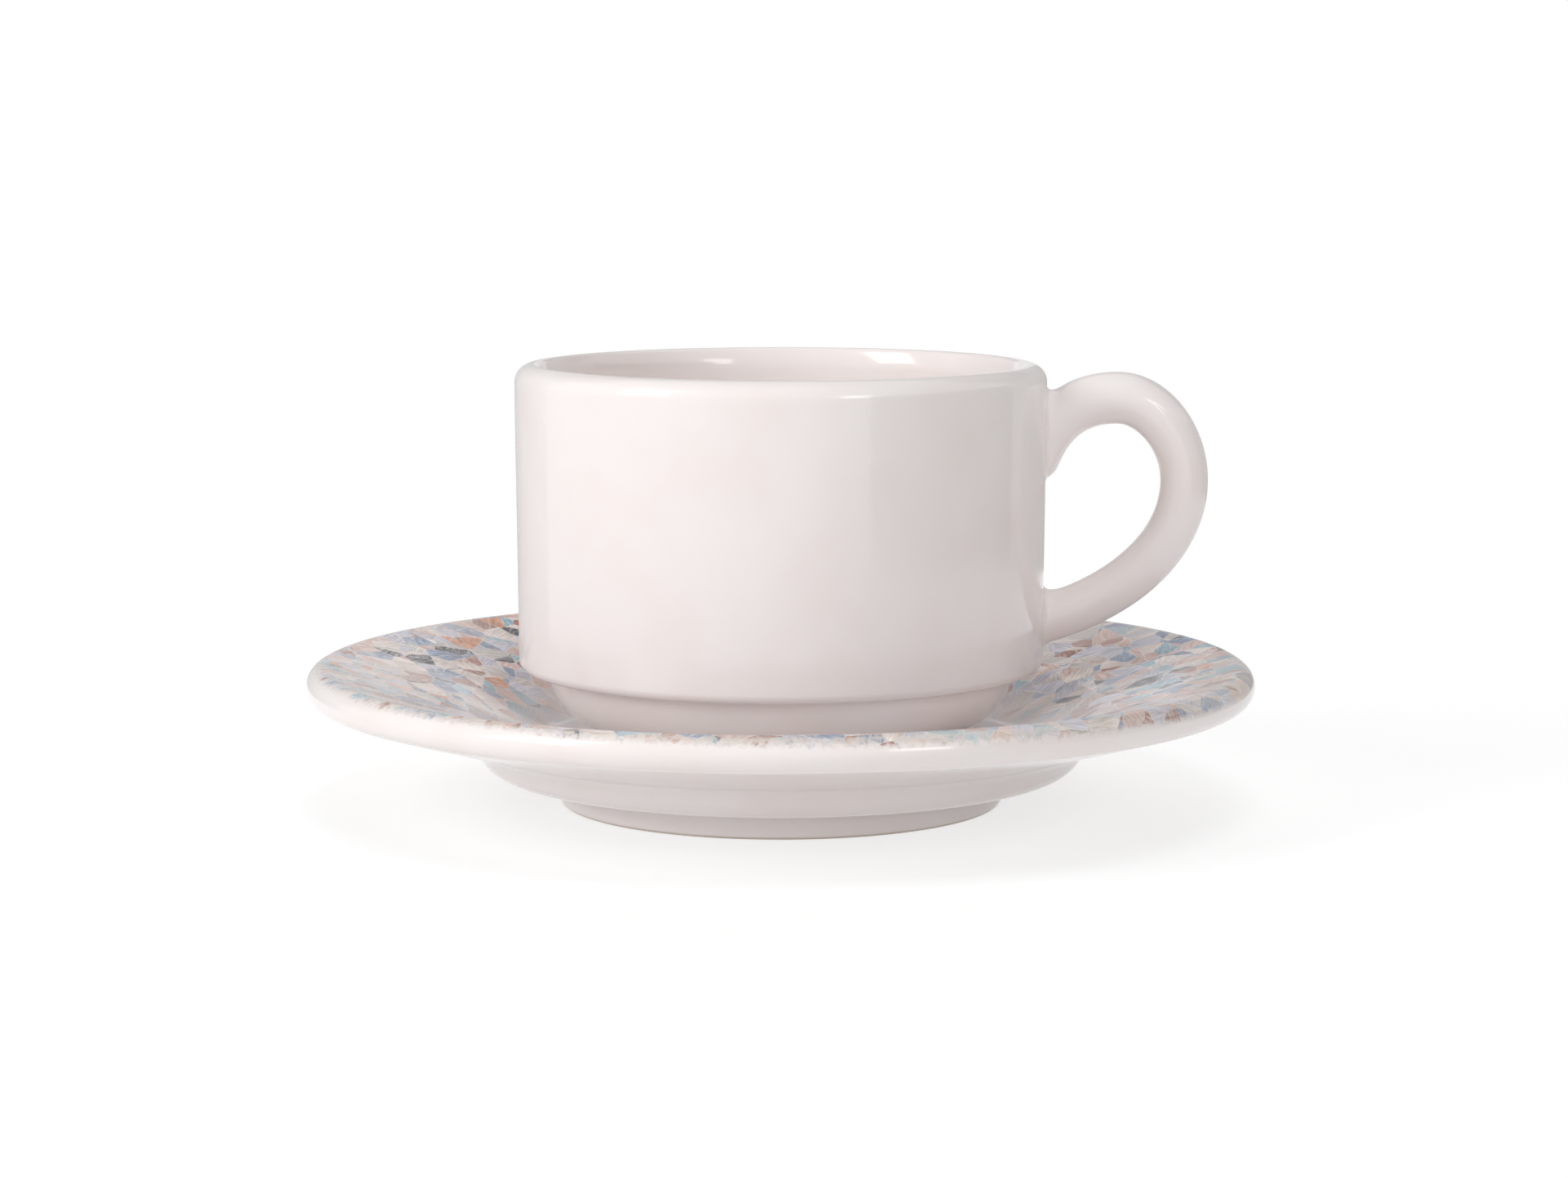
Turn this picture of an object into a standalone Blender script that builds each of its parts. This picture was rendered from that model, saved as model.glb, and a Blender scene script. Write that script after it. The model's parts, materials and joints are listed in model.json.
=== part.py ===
"""A stacking tea cup with a loop handle, standing on its saucer.

Metres, +Z up. The origin is on the table, under the centre of the saucer's foot ring, and the handle
points along +X.
"""

import math

import bmesh
import bpy
from mathutils import Vector

MM = 0.001

# Cup body, from the lip down
LIP_RADIUS = 41.9 * MM
WALL = 4.5 * MM
LIP_ROUND_OUTER = 2.9 * MM
LIP_ROUND_INNER = 1.6 * MM
BODY_HEIGHT = 48.1 * MM  # stacking ledge to lip
BODY_TAPER = 0.4 * MM  # radius lost from the lip to the ledge
LEDGE_ROUND = 1.5 * MM
LEDGE_FILLET = 0.9 * MM  # in the corner between the ledge and the stacking base
STACK_CLEARANCE = 0.55 * MM  # stacking base inside the lip of the cup below
BASE_RUN = 9.9 * MM  # how far the rounded base draws in, from the ledge to the foot ring
BASE_DEPTH = 9.4 * MM  # height of the rounded base
BASE_THICK = 4.4 * MM
BOWL_ROUND = 17.0 * MM  # inside, between wall and floor
INNER_DRAFT = 0.6 * MM  # radius lost from the mouth to the floor

# Cup foot ring
CUP_FOOT_HEIGHT = 2.8 * MM
CUP_FOOT_WIDTH = 3.2 * MM
CUP_FOOT_DRAFT = 0.5 * MM
FOOT_ROUND = 0.9 * MM  # edges of both foot rings

# Loop handle: its centreline is measured from the wall, the lip and the ledge
HANDLE_DIAMETER = 8.0 * MM
HANDLE_REACH = 25.9 * MM  # wall to the outer face of the grip
CROWN_DROP = 1.3 * MM  # lip to the top of the crown
CROWN_OUT = 10.8 * MM  # wall to the crown
GRIP_DROP = 18.6 * MM  # lip to the outermost point
UPPER_ROOT_DROP = 20.3 * MM
UPPER_ROOT_SINK = 4.4 * MM
UPPER_ROOT_ANGLE = math.radians(64)
LOWER_ROOT_RISE = 7.0 * MM
LOWER_ROOT_SINK = 2.6 * MM
LOWER_ROOT_ANGLE = math.radians(11)
LOOP_FULLNESS = 0.53  # pull of the knots on the two outer turns, where 0.55 is a true ellipse
UPPER_ROOT_PULL = 0.85  # of the rise to the crown
CROWN_PULL = 0.43  # of the run from the upper root
CROWN_SWELL = 1.05
GRIP_SWELL = 0.96

# Saucer, from its centre outwards
SEAT_CLEARANCE = 1.5 * MM  # cup foot in the seat, all round
SEAT_DEPTH = 0.8 * MM
WELL_FLOOR_RUN = 9.5 * MM
WELL_SLOPE_RUN = 12.7 * MM
WELL_DEPTH = 6.4 * MM
WELL_ROUND = 9.0 * MM
WELL_EDGE_ROUND = 5.0 * MM
FLANGE_WIDTH = 24.3 * MM
FLANGE_SLOPE = math.radians(16)
RIM_THICK = 5.5 * MM

# Underside of the saucer
SAUCER_FLOOR = 4.7 * MM
SAUCER_FOOT_HEIGHT = 4.3 * MM
SAUCER_FOOT_INSET = 2.5 * MM  # foot ring inside the edge of the well floor
SAUCER_FOOT_WIDTH = 3.8 * MM
SAUCER_FOOT_DRAFT = 0.3 * MM
BELLY_INSET = 3.4 * MM  # belly inside the edge of the well
BELLY_RISE = 1.1 * MM
BELLY_ROUND = 3.3 * MM

# Fits between pieces
REST_GAP = 0.3 * MM  # cup foot above its seat
JOINT_GAP = 0.3 * MM  # handle off the cup wall

# Fineness
TURN_STEPS = 64
ARC_STEP = math.radians(24)
LOOP_STEPS = 8
LOOP_SECTION_STEPS = 6
WELD_DISTANCE = 0.01 * MM
LEAST_ROUND = 0.001 * MM  # a corner cut back by less than this stays sharp
SHARP_EDGE = math.radians(40)

# Levels and radii that follow from the sizes above: the cup's heights are from its own foot
LEDGE_HEIGHT = CUP_FOOT_HEIGHT + BASE_DEPTH
CUP_HEIGHT = LEDGE_HEIGHT + BODY_HEIGHT
MOUTH_RADIUS = LIP_RADIUS - WALL
PLUG_RADIUS = MOUTH_RADIUS - STACK_CLEARANCE
CUP_FOOT_RADIUS = PLUG_RADIUS - BASE_RUN
SEAT_RADIUS = CUP_FOOT_RADIUS + SEAT_CLEARANCE
SEAT_LEVEL = SAUCER_FOOT_HEIGHT + SAUCER_FLOOR
CUP_LEVEL = SEAT_LEVEL + REST_GAP


def material(name, colour, roughness):
    made = bpy.data.materials.new(name)
    made.use_nodes = True
    shader = made.node_tree.nodes["Principled BSDF"]
    shader.inputs["Base Color"].default_value = (*colour, 1.0)
    shader.inputs["Roughness"].default_value = roughness
    shader.inputs["Metallic"].default_value = 0.0
    return made


def collection(name):
    made = bpy.data.collections.new(name)
    bpy.context.scene.collection.children.link(made)
    return made


def arc(centre, radius, start, end):
    """Points of a round stretch of a profile, with both of its ends."""
    steps = max(2, math.ceil(abs(end - start) / ARC_STEP))
    angles = [start + (end - start) * step / steps for step in range(steps + 1)]
    return [Vector((centre[0] + radius * math.cos(a), centre[1] + radius * math.sin(a))) for a in angles]


def rounded(corners):
    """A profile through the corners (radius, height, round), each turned into an arc of its round.

    Rounds that share an edge too short for both shrink together.
    """
    points = [Vector(corner[:2]) for corner in corners]
    edges = [after - before for before, after in zip(points, points[1:])]
    turns = [0.0] + [a.angle_signed(b) for a, b in zip(edges, edges[1:])] + [0.0]
    reach = [corner[2] * math.tan(abs(turn) / 2) for corner, turn in zip(corners, turns)]
    room = [min(1.0, edge.length / max(a + b, LEAST_ROUND)) for edge, a, b in zip(edges, reach, reach[1:])]
    profile = [points[0]]
    for index in range(1, len(points) - 1):
        cut = reach[index] * min(room[index - 1], room[index])
        turn = turns[index]
        if cut < LEAST_ROUND:
            profile.append(points[index])
            continue
        along = edges[index - 1].normalized()
        # angle_signed is positive clockwise, so the centre lies to the right of travel for a positive turn
        side = Vector((along.y, -along.x)) * math.copysign(1.0, turn)
        radius = cut / math.tan(abs(turn) / 2)
        centre = points[index] - along * cut + side * radius
        start = math.atan2(-side.y, -side.x)
        profile += arc(centre, radius, start, start - turn)
    profile.append(points[-1])
    return profile


def turned(name, profile, group):
    """A profile, drawn in the XZ plane from the top of its outer side to the bottom, turned about Z."""
    mesh = bpy.data.meshes.new(name)
    shape = bmesh.new()
    points = [shape.verts.new((radius, 0.0, height)) for radius, height in profile]
    for before, after in zip(points, points[1:]):
        shape.edges.new((before, after))
    shape.to_mesh(mesh)
    shape.free()
    made = bpy.data.objects.new(name, mesh)
    group.objects.link(made)
    turn = made.modifiers.new("turn", "SCREW")
    turn.axis = "Z"
    turn.angle = math.tau
    turn.steps = TURN_STEPS
    turn.render_steps = TURN_STEPS
    turn.use_merge_vertices = True
    turn.merge_threshold = WELD_DISTANCE
    turn.use_smooth_shade = True
    return made


def wall_radius(height):
    """Outside radius of the cup's wall at a height above its foot."""
    return LIP_RADIUS - BODY_TAPER * (CUP_HEIGHT - height) / BODY_HEIGHT


def cup_profile():
    floor = CUP_FOOT_HEIGHT + BASE_THICK
    inner_foot = CUP_FOOT_RADIUS - CUP_FOOT_WIDTH
    base_steps = math.ceil(math.radians(90) / ARC_STEP)
    base = []
    for step in range(1, base_steps):
        angle = math.radians(90) * step / base_steps
        radius = CUP_FOOT_RADIUS + BASE_RUN * math.cos(angle)
        base.append((radius, LEDGE_HEIGHT - BASE_DEPTH * math.sin(angle), 0.0))
    return rounded([
        (0.0, floor, 0.0),
        (MOUTH_RADIUS - INNER_DRAFT, floor, BOWL_ROUND),
        (MOUTH_RADIUS, CUP_HEIGHT, LIP_ROUND_INNER),
        (LIP_RADIUS, CUP_HEIGHT, LIP_ROUND_OUTER),
        (wall_radius(LEDGE_HEIGHT), LEDGE_HEIGHT, LEDGE_ROUND),
        (PLUG_RADIUS, LEDGE_HEIGHT, LEDGE_FILLET),
        *base,
        (CUP_FOOT_RADIUS, CUP_FOOT_HEIGHT, FOOT_ROUND),
        (CUP_FOOT_RADIUS - CUP_FOOT_DRAFT, 0.0, FOOT_ROUND),
        (inner_foot, 0.0, FOOT_ROUND),
        (inner_foot - CUP_FOOT_DRAFT, CUP_FOOT_HEIGHT, FOOT_ROUND),
        (0.0, CUP_FOOT_HEIGHT, 0.0),
    ])


def saucer_profile():
    well_floor = SEAT_LEVEL + SEAT_DEPTH
    well_floor_radius = SEAT_RADIUS + WELL_FLOOR_RUN
    well_radius = well_floor_radius + WELL_SLOPE_RUN
    well_edge = well_floor + WELL_DEPTH
    foot = well_floor_radius - SAUCER_FOOT_INSET
    inner_foot = foot - SAUCER_FOOT_DRAFT - SAUCER_FOOT_WIDTH
    belly = well_radius - BELLY_INSET
    # The rim is a full round whose top runs on from the sloping flange
    rim_round = RIM_THICK / 2
    slope = Vector((math.cos(FLANGE_SLOPE), math.sin(FLANGE_SLOPE)))
    down = Vector((slope.y, -slope.x))
    edge = Vector((well_radius, well_edge))
    rim_radius = well_radius + FLANGE_WIDTH - rim_round
    rim_centre = edge + down * rim_round
    rim_centre += slope * ((rim_radius - rim_centre.x) / slope.x)
    under_edge = edge + down * RIM_THICK
    belly_top = under_edge.y - (under_edge.x - belly) * math.tan(FLANGE_SLOPE)
    upper = rounded([
        (0.0, SEAT_LEVEL, 0.0),
        (SEAT_RADIUS, SEAT_LEVEL, SEAT_DEPTH),
        (SEAT_RADIUS + SEAT_DEPTH, well_floor, SEAT_DEPTH),
        (well_floor_radius, well_floor, WELL_ROUND),
        (well_radius, well_edge, WELL_EDGE_ROUND),
        (*(rim_centre - down * rim_round), 0.0),
    ])
    rim = arc(rim_centre, rim_round, FLANGE_SLOPE + math.pi / 2, FLANGE_SLOPE - math.pi / 2)
    lower = rounded([
        (*(rim_centre + down * rim_round), 0.0),
        (belly, belly_top, BELLY_ROUND),
        (belly, SAUCER_FOOT_HEIGHT + BELLY_RISE, BELLY_ROUND),
        (foot, SAUCER_FOOT_HEIGHT, FOOT_ROUND),
        (foot - SAUCER_FOOT_DRAFT, 0.0, FOOT_ROUND),
        (inner_foot, 0.0, FOOT_ROUND),
        (inner_foot - SAUCER_FOOT_DRAFT, SAUCER_FOOT_HEIGHT, FOOT_ROUND),
        (0.0, SAUCER_FOOT_HEIGHT, 0.0),
    ])
    return upper[:-1] + rim + lower[1:]


def handle_centreline():
    """The loop's four knots from the upper root to the lower one: place, pull before, pull after, swell."""
    thick = HANDLE_DIAMETER / 2
    upper_z = CUP_HEIGHT - UPPER_ROOT_DROP
    lower_z = LEDGE_HEIGHT + LOWER_ROOT_RISE
    upper = Vector((wall_radius(upper_z) - UPPER_ROOT_SINK, 0.0, upper_z))
    crown = Vector((LIP_RADIUS + CROWN_OUT, 0.0, CUP_HEIGHT - CROWN_DROP - thick * CROWN_SWELL))
    grip = Vector((LIP_RADIUS + HANDLE_REACH - thick * GRIP_SWELL, 0.0, CUP_HEIGHT - GRIP_DROP))
    lower = Vector((wall_radius(lower_z) - LOWER_ROOT_SINK, 0.0, lower_z))
    out = Vector((math.cos(UPPER_ROOT_ANGLE), 0.0, math.sin(UPPER_ROOT_ANGLE)))
    back = Vector((math.cos(LOWER_ROOT_ANGLE), 0.0, math.sin(LOWER_ROOT_ANGLE)))
    across = Vector((1.0, 0.0, 0.0))
    upright = Vector((0.0, 0.0, 1.0))
    rise = crown - upper
    fall = (grip - crown) * LOOP_FULLNESS
    sweep = (grip - lower) * LOOP_FULLNESS
    leave = out * rise.z * UPPER_ROOT_PULL
    return [
        (upper, upper - leave, upper + leave, 1.0),
        (crown, crown - across * rise.x * CROWN_PULL, crown + across * fall.x, CROWN_SWELL),
        (grip, grip - upright * fall.z, grip - upright * sweep.z, GRIP_SWELL),
        (lower, lower + back * sweep.x, lower - back * sweep.x, 1.0),
    ]


def handle_loop(name, group):
    """The round bar of the handle, as a mesh with welded ends."""
    curve = bpy.data.curves.new(name, "CURVE")
    curve.dimensions = "3D"
    curve.bevel_depth = HANDLE_DIAMETER / 2
    curve.bevel_resolution = LOOP_SECTION_STEPS
    curve.resolution_u = LOOP_STEPS
    curve.use_fill_caps = True
    knots = handle_centreline()
    spline = curve.splines.new("BEZIER")
    spline.bezier_points.add(len(knots) - 1)
    for point, (place, before, after, swell) in zip(spline.bezier_points, knots):
        point.co = place
        point.handle_left = before
        point.handle_right = after
        point.radius = swell
    bar = bpy.data.objects.new(name + "_path", curve)
    bpy.context.scene.collection.objects.link(bar)
    bpy.context.view_layer.update()
    mesh = bpy.data.meshes.new_from_object(bar.evaluated_get(bpy.context.evaluated_depsgraph_get()))
    bpy.data.objects.remove(bar)
    shape = bmesh.new()
    shape.from_mesh(mesh)
    bmesh.ops.remove_doubles(shape, verts=shape.verts, dist=WELD_DISTANCE)
    bmesh.ops.recalc_face_normals(shape, faces=shape.faces)
    shape.to_mesh(mesh)
    shape.free()
    mesh.name = name
    made = bpy.data.objects.new(name, mesh)
    group.objects.link(made)
    return made


def wall_cutter(name, group):
    """The cup's outer wall with the joint gap, solid, to trim the handle's roots to it."""
    top = CUP_HEIGHT + HANDLE_DIAMETER
    bottom = -HANDLE_DIAMETER
    made = turned(
        name,
        [
            (0.0, top),
            (wall_radius(top) + JOINT_GAP, top),
            (wall_radius(bottom) + JOINT_GAP, bottom),
            (0.0, bottom),
        ],
        group,
    )
    made.hide_render = True
    made.display_type = "WIRE"
    return made


def smooth(piece):
    piece.data.shade_smooth()
    piece.data.set_sharp_from_angle(angle=SHARP_EDGE)


def build():
    for old in list(bpy.data.objects):
        bpy.data.objects.remove(old)
    parts = collection("stacking_cup_and_saucer")
    cutters = collection("cutters")
    ivory = material("ivory_glaze", (0.83, 0.78, 0.755), 0.22)
    saucer_white = material("printed_white_glaze", (0.73, 0.69, 0.675), 0.2)

    saucer = turned("saucer", saucer_profile(), parts)
    saucer.data.materials.append(saucer_white)

    lift = bpy.data.objects.new("cup_lift_axis", None)
    lift.location = (0.0, 0.0, CUP_LEVEL)
    lift.empty_display_size = LIP_RADIUS
    parts.objects.link(lift)

    cup = turned("cup_body", cup_profile(), parts)
    cup.data.materials.append(ivory)
    cup.parent = lift

    handle = handle_loop("cup_handle", parts)
    handle.data.materials.append(ivory)
    handle.parent = lift
    smooth(handle)
    wall = wall_cutter("handle_wall_cutter", cutters)
    wall.parent = lift
    trim = handle.modifiers.new("trim_to_wall", "BOOLEAN")
    trim.operation = "DIFFERENCE"
    trim.solver = "EXACT"
    trim.object = wall


build()
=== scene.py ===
import json
import math

import bmesh
import bpy
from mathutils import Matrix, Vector, noise

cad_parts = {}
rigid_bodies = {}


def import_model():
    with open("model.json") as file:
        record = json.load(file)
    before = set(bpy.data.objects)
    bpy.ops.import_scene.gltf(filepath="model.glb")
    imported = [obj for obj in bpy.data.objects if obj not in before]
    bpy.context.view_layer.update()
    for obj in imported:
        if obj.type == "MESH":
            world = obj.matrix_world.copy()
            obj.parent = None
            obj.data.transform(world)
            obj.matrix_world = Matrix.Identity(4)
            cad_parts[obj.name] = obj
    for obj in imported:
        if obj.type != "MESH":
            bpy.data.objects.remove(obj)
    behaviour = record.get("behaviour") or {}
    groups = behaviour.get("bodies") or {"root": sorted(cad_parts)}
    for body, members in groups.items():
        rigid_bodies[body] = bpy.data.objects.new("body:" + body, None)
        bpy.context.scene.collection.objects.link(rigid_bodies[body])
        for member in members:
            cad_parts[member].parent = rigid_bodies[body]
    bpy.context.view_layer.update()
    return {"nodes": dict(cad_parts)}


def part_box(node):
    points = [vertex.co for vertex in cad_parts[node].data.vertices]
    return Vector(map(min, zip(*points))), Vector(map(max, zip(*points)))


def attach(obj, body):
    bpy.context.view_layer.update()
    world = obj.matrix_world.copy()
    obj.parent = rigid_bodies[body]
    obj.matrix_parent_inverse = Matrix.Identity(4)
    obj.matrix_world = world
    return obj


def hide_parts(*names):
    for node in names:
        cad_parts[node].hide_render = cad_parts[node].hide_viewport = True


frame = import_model()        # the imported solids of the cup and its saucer
mm = 0.001
tiny = 0.001        # mm; what is shorter counts as nothing
print("frame loaded:", ", ".join(sorted(frame["nodes"])))


# sRGB hex to the linear colour that a shader socket takes
def hexColor(text):
    parts = [int(text[i:i + 2], 16) / 255 for i in (1, 3, 5)]
    return (*[c / 12.92 if c <= 0.04045 else ((c + 0.055) / 1.055) ** 2.4 for c in parts], 1.0)


# one shader node with its settings and links; a number as key is a socket's place in the list
def addNode(tree, kind, settings=None, links=None):
    node = tree.nodes.new(kind)
    for key, value in (settings or {}).items():
        if isinstance(key, int) or key in node.inputs:
            node.inputs[key].default_value = value
        else:
            setattr(node, key, value)
    for key, source in (links or {}).items():
        start = source if isinstance(source, bpy.types.NodeSocket) else source.outputs[0]
        tree.links.new(start, node.inputs[key])
    return node


mixA, mixB, mixOut = 6, 7, 2        # the colour sockets of a Mix node
valueA, valueB = 2, 3        # and its number sockets


def newMaterial(name):
    made = bpy.data.materials.new(name)
    made.use_nodes = True
    made.node_tree.nodes.clear()
    return made


# points of a round stretch of a profile, both ends included
def arcPoints(centre, radius, start, end, step=math.radians(5)):
    count = max(2, math.ceil(abs(end - start) / step))
    angles = [start + (end - start) * i / count for i in range(count + 1)]
    return [Vector((centre[0] + radius * math.cos(a), centre[1] + radius * math.sin(a))) for a in angles]


# corners are (radius, height, round) in mm; each becomes an arc of its round
def roundCorners(corners):
    points = [Vector(c[:2]) for c in corners]
    edges = [b - a for a, b in zip(points, points[1:])]
    turns = [0.0] + [a.angle_signed(b) for a, b in zip(edges, edges[1:])] + [0.0]
    reach = [c[2] * math.tan(abs(t) / 2) for c, t in zip(corners, turns)]
    room = [min(1.0, e.length / max(a + b, tiny)) for e, a, b in zip(edges, reach, reach[1:])]
    path = [points[0]]
    for i in range(1, len(points) - 1):
        cut = reach[i] * min(room[i - 1], room[i])
        if cut < tiny:
            path.append(points[i])
            continue
        along = edges[i - 1].normalized()
        side = Vector((along.y, -along.x)) * math.copysign(1.0, turns[i])
        radius = cut / math.tan(abs(turns[i]) / 2)
        start = math.atan2(-side.y, -side.x)
        path += arcPoints(points[i] - along * cut + side * radius, radius, start, start - turns[i])
    return path + [points[-1]]


# a profile turned about Z, with long straights split so that the clay's small unevenness shows
def turnProfile(name, profile, steps, longest, unevenness):
    path = [profile[0]]
    for after in profile[1:]:
        start = path[-1]
        length = (after - start).length
        if length < tiny:        # two rounds that meet share a point
            continue
        parts = math.ceil(length / longest)
        path += [start.lerp(after, i / parts) for i in range(1, parts + 1)]
    shape = bmesh.new()
    rings = []
    for radius, height in path:
        if radius < tiny:        # on the axis a ring is one point
            rings.append([shape.verts.new((0.0, 0.0, height * mm))] * steps)
            continue
        ring = []
        for i in range(steps):
            c, s = math.cos(math.tau * i / steps), math.sin(math.tau * i / steps)
            out, up = unevenness(c, s, radius, height)
            ring.append(shape.verts.new(Vector(((radius + out) * c, (radius + out) * s, height + up)) * mm))
        rings.append(ring)
    for a, b in zip(rings, rings[1:]):
        for i in range(steps):
            j = (i + 1) % steps
            shape.faces.new(list(dict.fromkeys((a[i], a[j], b[j], b[i]))))
    return meshPiece(name, shape)


def meshPiece(name, shape):
    bmesh.ops.recalc_face_normals(shape, faces=shape.faces)
    mesh = bpy.data.meshes.new(name)
    shape.to_mesh(mesh)
    shape.free()
    mesh.shade_smooth()
    piece = bpy.data.objects.new(name, mesh)
    bpy.context.scene.collection.objects.link(piece)
    return piece


# cup body: jolleyed bowl with a rounded lip, a stacking ledge and a foot ring; mm
cup = {
    "lipRadius": 41.9, "wall": 4.5, "lipOuterRound": 2.9, "lipInnerRound": 1.2,
    "mouthEase": 0.9, "mouthEaseDrop": 1.9, "mouthEaseRound": 8.5,        # the lip's inner side leans out
    "bodyHeight": 48.1, "taper": 0.4, "ledgeRound": 1.5, "ledgeFillet": 0.9,
    "stackClearance": 0.55, "baseRun": 9.9, "baseDepth": 9.4, "baseThick": 4.4, "baseStep": 6,
    "bowlRound": 17.0, "innerDraft": 0.6,
    "footHeight": 2.8, "footWidth": 3.2, "footDraft": 0.5, "footRound": 0.9,
    # the wall strays this far from a true turning, in swells this tall; more lobes make them narrower
    "unevenness": 0.05, "swellTall": 24, "lobes": 1.7,
    "steps": 192, "longest": 1.6,        # faces round the turn, and the longest face down the profile
}
cup["level"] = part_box("cup_body")[0].z / mm
cup["ledge"] = cup["level"] + cup["footHeight"] + cup["baseDepth"]
cup["top"] = cup["ledge"] + cup["bodyHeight"]
cup["mouth"] = cup["lipRadius"] - cup["wall"]
cup["plug"] = cup["mouth"] - cup["stackClearance"]        # goes into the mouth of a cup below
cup["footRadius"] = cup["plug"] - cup["baseRun"]


def wallRadius(height):
    return cup["lipRadius"] - cup["taper"] * (cup["top"] - height) / cup["bodyHeight"]


def cupProfile():
    foot = cup["level"] + cup["footHeight"]
    mouth, footRadius = cup["mouth"], cup["footRadius"]
    innerFoot = footRadius - cup["footWidth"]
    floor = foot + cup["baseThick"]
    base = []
    for degrees in range(cup["baseStep"], 90, cup["baseStep"]):        # quarter ellipse of the base
        a = math.radians(degrees)
        out, down = cup["baseRun"] * math.cos(a), cup["baseDepth"] * math.sin(a)
        base.append((footRadius + out, cup["ledge"] - down, 0.0))
    return roundCorners([
        (0.0, floor, 0.0),
        (mouth - cup["innerDraft"], floor, cup["bowlRound"]),
        (mouth, cup["top"] - cup["mouthEaseDrop"], cup["mouthEaseRound"]),
        (mouth + cup["mouthEase"], cup["top"], cup["lipInnerRound"]),
        (cup["lipRadius"], cup["top"], cup["lipOuterRound"]),
        (wallRadius(cup["ledge"]), cup["ledge"], cup["ledgeRound"]),
        (cup["plug"], cup["ledge"], cup["ledgeFillet"]),
        *base,
        (footRadius, foot, cup["footRound"]),
        (footRadius - cup["footDraft"], cup["level"], cup["footRound"]),
        (innerFoot, cup["level"], cup["footRound"]),
        (innerFoot - cup["footDraft"], foot, cup["footRound"]),
        (0.0, foot, 0.0),
    ])


def cupUneven(c, s, radius, height):
    slow = noise.noise(Vector((c * cup["lobes"], s * cup["lobes"], height / cup["swellTall"])))
    return cup["unevenness"] * slow * min(1.0, radius / cup["lipRadius"]), 0.0


cupBody = turnProfile("cupBody", cupProfile(), cup["steps"], cup["longest"], cupUneven)
print("cup body:", len(cupBody.data.polygons), "faces")


# loop handle: a round bar luted to the wall, its upper end a rounded tip, with slip fillets at both roots;
# mm and degrees, and fullness, pulls and swells as shares
handle = {
    "diameter": 7.9, "reach": 25.6, "crownDrop": 1.4, "crownOut": 11.2, "gripDrop": 18.6,
    "upperDrop": 18.6, "upperSink": 2.8, "upperAngle": 76.8,
    "lowerRise": 6.9, "lowerSink": 2.0, "lowerAngle": 12.8,
    "fullness": 0.52, "upperPull": 0.96, "crownPull": 0.27,
    "crownSwell": 1.04, "gripSwell": 0.95, "lowerSwell": 0.97,
    # how far each fillet runs on the bar and on the wall: outside of the loop, sides, inside
    "upperFillet": ((4.0, 2.2), (1.3, 0.9), (0.7, 0.6)),
    "lowerFillet": ((2.0, 0.8), (1.3, 0.9), (3.8, 1.9)),
    "sunkInWall": 1.2, "rows": 96, "around": 56, "filletRows": 9, "unevenness": 0.04, "swellLong": 9,
}


# knots of the centreline from the upper root to the lower one: place, pull before, pull after, swell
def handleKnots():
    half = handle["diameter"] / 2
    lip, top = cup["lipRadius"], cup["top"]
    upperZ = top - handle["upperDrop"]
    lowerZ = cup["ledge"] + handle["lowerRise"]
    upper = Vector((wallRadius(upperZ) - handle["upperSink"], 0, upperZ))
    crown = Vector((lip + handle["crownOut"], 0, top - handle["crownDrop"] - half * handle["crownSwell"]))
    grip = Vector((lip + handle["reach"] - half * handle["gripSwell"], 0, top - handle["gripDrop"]))
    lower = Vector((wallRadius(lowerZ) - handle["lowerSink"], 0, lowerZ))
    across, upright = Vector((1, 0, 0)), Vector((0, 0, 1))
    a, b = math.radians(handle["upperAngle"]), math.radians(handle["lowerAngle"])
    leave = Vector((math.cos(a), 0, math.sin(a))) * (crown.z - upper.z) * handle["upperPull"]
    rise = across * (crown.x - upper.x) * handle["crownPull"]
    fall = (grip - crown) * handle["fullness"]
    sweep = (grip - lower) * handle["fullness"]
    back = Vector((math.cos(b), 0, math.sin(b))) * sweep.x
    return [
        (upper, upper - leave, upper + leave, 1.0),
        (crown, crown - rise, crown + across * fall.x, handle["crownSwell"]),
        (grip, grip - upright * fall.z, grip - upright * sweep.z, handle["gripSwell"]),
        (lower, lower + back, lower - back, handle["lowerSwell"]),
    ]


knots = handleKnots()
midLoop = 0.5        # halfway along the loop, clear of both roots


# a point on the bar's skin: u runs 0 to 1 along the loop, turn goes round it from its outer side
def barPoint(u, turn):
    span = u * (len(knots) - 1)
    i = min(int(span), len(knots) - 2)
    t = span - i
    p0, p1, p2, p3 = knots[i][0], knots[i][2], knots[i + 1][1], knots[i + 1][0]
    centre = p0 * (1 - t) ** 3 + p1 * 3 * t * (1 - t) ** 2 + p2 * 3 * t * t * (1 - t) + p3 * t ** 3
    along = (p1 - p0) * (1 - t) ** 2 + (p2 - p1) * 2 * t * (1 - t) + (p3 - p2) * t * t
    along.normalize()
    ease = t * t * (3 - 2 * t)
    radius = handle["diameter"] / 2 * (knots[i][3] * (1 - ease) + knots[i + 1][3] * ease)
    fromTip = (centre - knots[0][0]).length / radius
    if i == 0 and fromTip < 1:        # the upper end is round
        radius *= math.sqrt(1 - (1 - fromTip) ** 2)
    radius += handle["unevenness"] * noise.noise(centre / handle["swellLong"])
    outward = Vector((-along.z, 0, along.x))
    return centre + (outward * math.cos(turn) + Vector((0, 1, 0)) * math.sin(turn)) * radius


def wallGap(point):
    return math.hypot(point.x, point.y) - wallRadius(point.z)


# the place between two along the loop where a test turns true, found by halving
def firstPlace(start, end, test, halvings=40):
    for _ in range(halvings):
        middle = (start + end) / 2
        if test(middle):
            end = middle
        else:
            start = middle
    return end


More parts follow.
